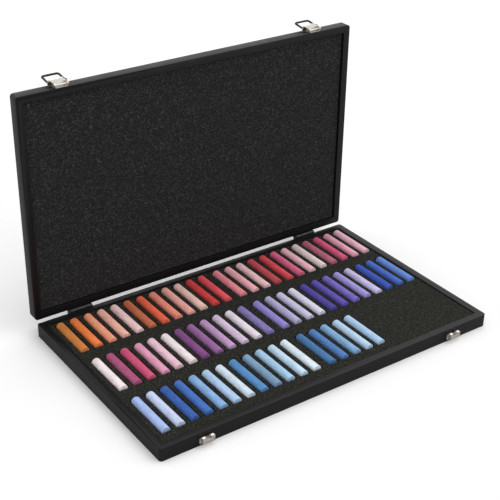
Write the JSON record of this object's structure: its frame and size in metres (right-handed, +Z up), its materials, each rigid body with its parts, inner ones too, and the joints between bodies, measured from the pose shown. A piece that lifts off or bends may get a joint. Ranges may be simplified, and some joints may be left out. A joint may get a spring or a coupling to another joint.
{
  "type": "pastel case",
  "caption": "Shallow hinged case with a slotted foam tray of soft pastel sticks, a padded lid and wire-bail draw latches; the lid stands open at a right angle.",
  "frame": {"origin": "centre of the base's underside, on the face the case stands on", "axes": "+X along the hinge and the long sides, +Y towards the hinge, +Z up"},
  "size_m": [0.46, 0.3205, 0.3068],
  "materials": {
    "black_skin": "satin black skin over fibreboard",
    "panel_skin": "satin black skin over thin fibreboard",
    "foam": "speckled charcoal foam",
    "hinge_steel": "dark satin",
    "nickel_plate": "nickel plated",
    "nickel_wire": "nickel plated wire",
    "screw_steel": "zinc plated",
    "pastel_orange": "matt chalk",
    "pastel_vermilion": "matt chalk",
    "pastel_red": "matt chalk",
    "pastel_carmine": "matt chalk",
    "pastel_rose": "matt chalk",
    "pastel_magenta": "matt chalk",
    "pastel_purple": "matt chalk",
    "pastel_violet": "matt chalk",
    "pastel_deep_violet": "matt chalk",
    "pastel_ultramarine": "matt chalk",
    "pastel_cobalt": "matt chalk",
    "pastel_cerulean": "matt chalk",
    "pastel_steel_blue": "matt chalk"
  },
  "bodies": {
    "base": {"base_front_wall": "black_skin", "base_back_wall": "black_skin", "base_left_wall": "black_skin", "base_right_wall": "black_skin", "base_panel": "panel_skin", "foam_backing": "foam", "pastel_tray": "foam", "left_hinge_base_leaf": "hinge_steel", "right_hinge_base_leaf": "hinge_steel", "left_hinge_pin": "hinge_steel", "right_hinge_pin": "hinge_steel", "hinge_base_screws": "screw_steel", "left_hook_plate": "nickel_plate", "right_hook_plate": "nickel_plate", "hook_screws": "screw_steel", "pastels_orange": "pastel_orange", "pastels_vermilion": "pastel_vermilion", "pastels_red": "pastel_red", "pastels_carmine": "pastel_carmine", "pastels_rose": "pastel_rose", "pastels_magenta": "pastel_magenta", "pastels_purple": "pastel_purple", "pastels_violet": "pastel_violet", "pastels_deep_violet": "pastel_deep_violet", "pastels_ultramarine": "pastel_ultramarine", "pastels_cobalt": "pastel_cobalt", "pastels_cerulean": "pastel_cerulean", "pastels_steel_blue": "pastel_steel_blue"},
    "lid": {"lid_front_wall": "black_skin", "lid_back_wall": "black_skin", "lid_left_wall": "black_skin", "lid_right_wall": "black_skin", "lid_panel": "panel_skin", "lid_pad": "foam", "left_hinge_lid_leaf": "hinge_steel", "right_hinge_lid_leaf": "hinge_steel", "hinge_lid_screws": "screw_steel", "left_latch_plate": "nickel_plate", "right_latch_plate": "nickel_plate", "left_latch_pin": "nickel_plate", "right_latch_pin": "nickel_plate", "latch_screws": "screw_steel"},
    "left_lever": {"left_latch_lever": "nickel_plate", "left_bail_rivets": "nickel_plate"},
    "left_wire_bail": {"left_bail": "nickel_wire"},
    "right_lever": {"right_latch_lever": "nickel_plate", "right_bail_rivets": "nickel_plate"},
    "right_wire_bail": {"right_bail": "nickel_wire"}
  },
  "joints": [
    {"name": "lid_hinge", "type": "hinge", "parent": "base", "child": "lid", "pos_m": [0, 0.1434, 0.016], "axis": [1, 0, 0], "range_deg": [0, 90]},
    {"name": "left_lever_hinge", "type": "hinge", "parent": "lid", "child": "left_lever", "pos_m": [-0.1745, 0.1459, 0.303], "axis": [1, 0, 0], "range_deg": [0, 90]},
    {"name": "left_bail_hinge", "type": "hinge", "parent": "left_lever", "child": "left_wire_bail", "pos_m": [-0.1745, 0.155, 0.303], "axis": [1, 0, 0], "range_deg": [-34, 82]},
    {"name": "right_lever_hinge", "type": "hinge", "parent": "lid", "child": "right_lever", "pos_m": [0.1745, 0.1459, 0.303], "axis": [1, 0, 0], "range_deg": [0, 90]},
    {"name": "right_bail_hinge", "type": "hinge", "parent": "right_lever", "child": "right_wire_bail", "pos_m": [0.1745, 0.155, 0.303], "axis": [1, 0, 0], "range_deg": [-34, 82]}
  ]
}
